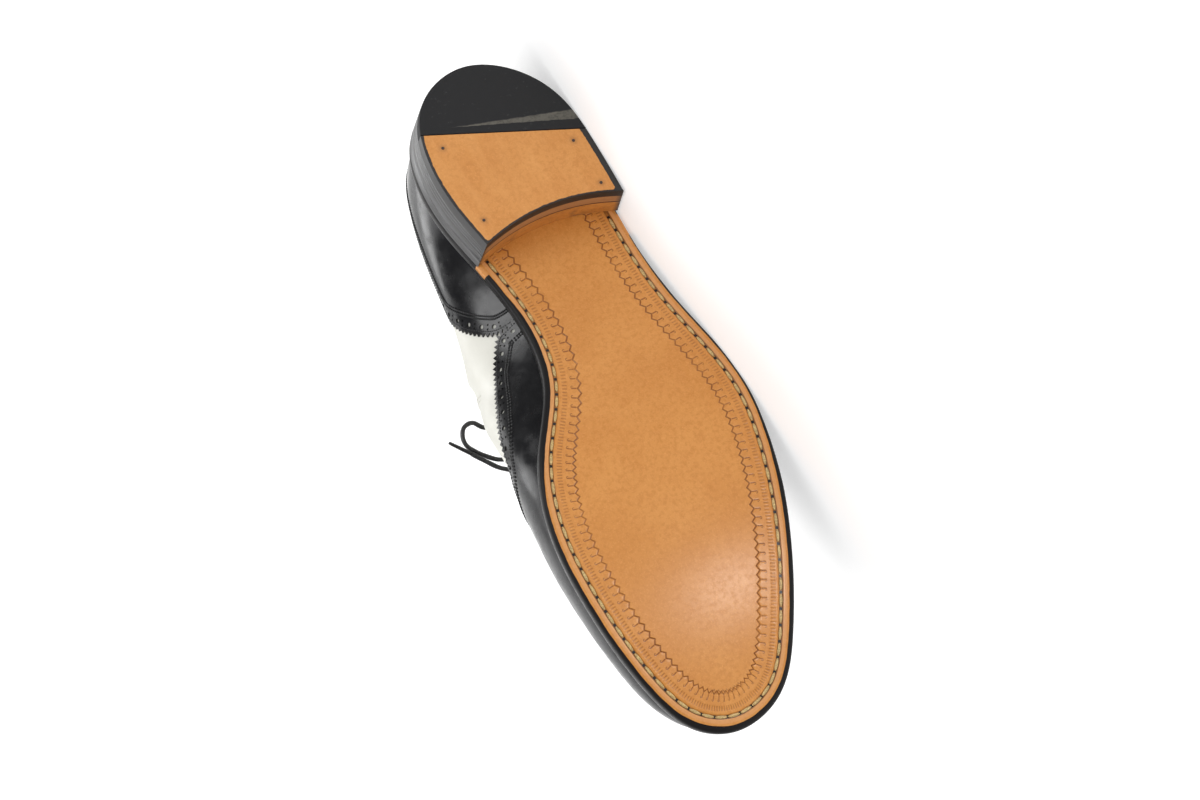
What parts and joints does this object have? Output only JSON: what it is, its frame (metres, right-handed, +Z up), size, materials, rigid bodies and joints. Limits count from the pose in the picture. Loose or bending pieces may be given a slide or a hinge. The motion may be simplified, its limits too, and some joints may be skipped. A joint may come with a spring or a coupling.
{
  "type": "wingtip oxford shoe",
  "caption": "Right full-brogue oxford lying on its outer side: leather outsole and stacked heel, welt, hollow white upper with black wing cap and counter, tongue and tied lace.",
  "frame": {"origin": "on the floor under the middle of the shoe's box, the lace's knot, loops and ends left out", "axes": "+Z up from the floor the shoe lies on; +X towards the heel, -X towards the toe; -Y the way the sole faces, +Y the way the collar opens"},
  "size_m": [0.3101, 0.1185, 0.1127],
  "materials": {
    "sole_leather": "satin",
    "edge_black": "satin",
    "black_rubber": "matte",
    "black_calf": "gloss",
    "white_calf": "satin",
    "lining_leather": "matte",
    "waxed_cord": "satin"
  },
  "bodies": {
    "root": {"outsole": "sole_leather", "welt": "edge_black", "insole": "lining_leather", "heel_stack": "edge_black", "heel_top_lift": "sole_leather", "heel_rubber_tip": "black_rubber", "upper": "white_calf", "wing_cap": "black_calf", "heel_counter": "black_calf", "tongue": "black_calf", "lace_bar_1": "waxed_cord", "lace_bar_2": "waxed_cord", "lace_bar_3": "waxed_cord", "lace_bar_4": "waxed_cord", "lace_bar_5": "waxed_cord", "lace_knot": "waxed_cord", "lace_loop_medial": "waxed_cord", "lace_loop_lateral": "waxed_cord", "lace_end_medial": "waxed_cord", "lace_end_lateral": "waxed_cord", "lace_tip_medial": "waxed_cord", "lace_tip_lateral": "waxed_cord"}
  },
  "joints": []
}
